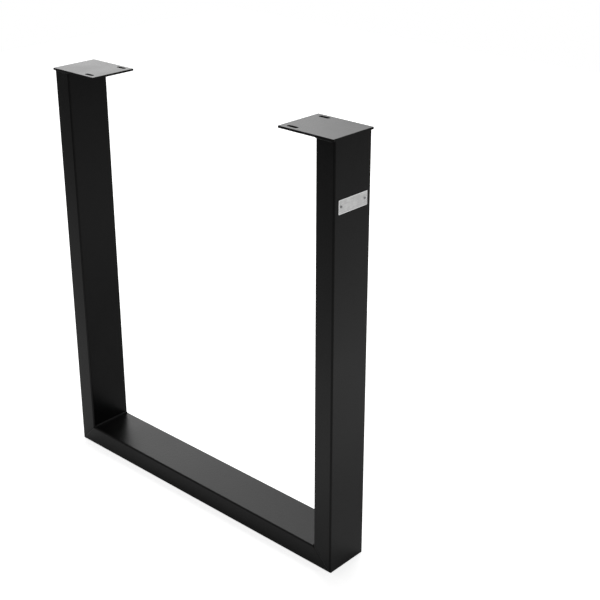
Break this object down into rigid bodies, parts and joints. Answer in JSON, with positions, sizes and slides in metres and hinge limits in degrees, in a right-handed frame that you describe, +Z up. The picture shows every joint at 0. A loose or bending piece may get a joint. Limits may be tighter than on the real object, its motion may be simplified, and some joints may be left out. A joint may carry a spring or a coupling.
{
  "type": "u shaped table leg",
  "caption": "Free-standing U-shaped table leg of rectangular steel tube, mitred and welded at the floor, with slotted screw plates on the posts.",
  "frame": {"origin": "on the floor, under the middle of the leg", "axes": "+X across the leg towards the post with the tag, +Y from the front to the back through the tube's deep side, +Z up"},
  "size_m": [0.6201, 0.086, 0.71],
  "materials": {
    "black_powder_coat": "satin powder coat",
    "bare_tag_metal": "matt silver",
    "rivet_aluminium": "satin"
  },
  "bodies": {
    "root": {"left_post": "black_powder_coat", "right_post": "black_powder_coat", "floor_rail": "black_powder_coat", "left_corner_weld": "black_powder_coat", "right_corner_weld": "black_powder_coat", "left_top_plate": "black_powder_coat", "right_top_plate": "black_powder_coat", "left_plate_weld": "black_powder_coat", "right_plate_weld": "black_powder_coat", "tag_plate": "bare_tag_metal", "front_tag_rivet": "rivet_aluminium", "rear_tag_rivet": "rivet_aluminium"}
  },
  "joints": []
}
